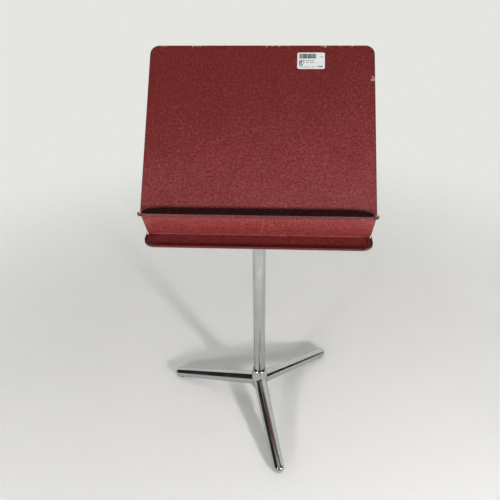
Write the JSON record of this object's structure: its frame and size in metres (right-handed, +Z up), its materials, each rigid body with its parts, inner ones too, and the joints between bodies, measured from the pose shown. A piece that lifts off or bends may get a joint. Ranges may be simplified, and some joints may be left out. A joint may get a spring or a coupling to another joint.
{
  "type": "music stand",
  "caption": "Music stand with a painted sheet-metal desk with two ledges, a sliding chrome post and a three-legged base.",
  "frame": {"origin": "on the floor, in the middle of the stand's overall box", "axes": "+Z up along the post, -Y out of the front of the desk, +X to the right of someone reading from it"},
  "size_m": [0.5146, 0.4524, 0.9498],
  "materials": {
    "desk_paint": "fine leather-grain maroon enamel, satin, worn at the edges",
    "bracket_paint": "maroon enamel, satin",
    "chrome": "bright chrome plate, lightly hazed",
    "chrome_casting": "bright chrome plate on a casting, a little pitted",
    "steel": "zinc-plated steel",
    "nylon": "natural nylon",
    "fibre": "pressed friction fibre",
    "brass": "turned brass",
    "knob_plastic": "moulded black phenolic",
    "pad_rubber": "moulded rubber",
    "label_paper": "plain white adhesive label with plain printed bars"
  },
  "bodies": {
    "base": {"base_hub": "chrome_casting", "leg_front": "chrome_casting", "leg_right": "chrome_casting", "leg_left": "chrome_casting", "leg_screws": "steel", "foot_pads": "pad_rubber", "hub_bolt": "steel", "hub_washer": "steel", "tube_plug": "steel", "outer_tube": "chrome", "guide_bush": "nylon", "clamp_collar": "chrome", "clamp_shoe": "brass"},
    "height_knob": {"height_screw": "steel", "height_knob": "knob_plastic"},
    "mast": {"inner_tube": "chrome", "mast_foot": "nylon", "swivel_plug": "steel", "plug_pin": "steel", "swivel_washer": "nylon"},
    "head": {"tilt_head": "chrome_casting", "swivel_grub_screw": "steel"},
    "desk": {"desk_panel": "desk_paint", "lower_shelf": "desk_paint", "desk_bracket": "bracket_paint", "tilt_bolt": "steel", "friction_washers": "fibre", "knob_washer": "steel", "price_label": "label_paper"},
    "tilt_knob": {"tilt_knob": "knob_plastic", "knob_insert": "brass"}
  },
  "joints": [
    {"name": "height_knob_turn", "type": "hinge", "parent": "base", "child": "height_knob", "pos_m": [0.00179, 0.037, 0.53604], "axis": [0, 1, 0], "range_deg": [0, 540]},
    {"name": "height_slide", "type": "slide", "parent": "base", "child": "mast", "axis": [0, 0, 1], "range_m": [0, 0.34]},
    {"name": "desk_swivel", "type": "hinge", "parent": "mast", "child": "head", "pos_m": [0.00179, 0.037, 0.672], "axis": [0, 0, 1], "continuous": true},
    {"name": "desk_tilt", "type": "hinge", "parent": "head", "child": "desk", "pos_m": [0.00179, 0.037, 0.715], "axis": [1, 0, 0], "range_deg": [-47.5, 12]},
    {"name": "tilt_knob_turn", "type": "hinge", "parent": "desk", "child": "tilt_knob", "pos_m": [0.00179, 0.037, 0.715], "axis": [1, 0, 0], "range_deg": [0, 540]}
  ]
}
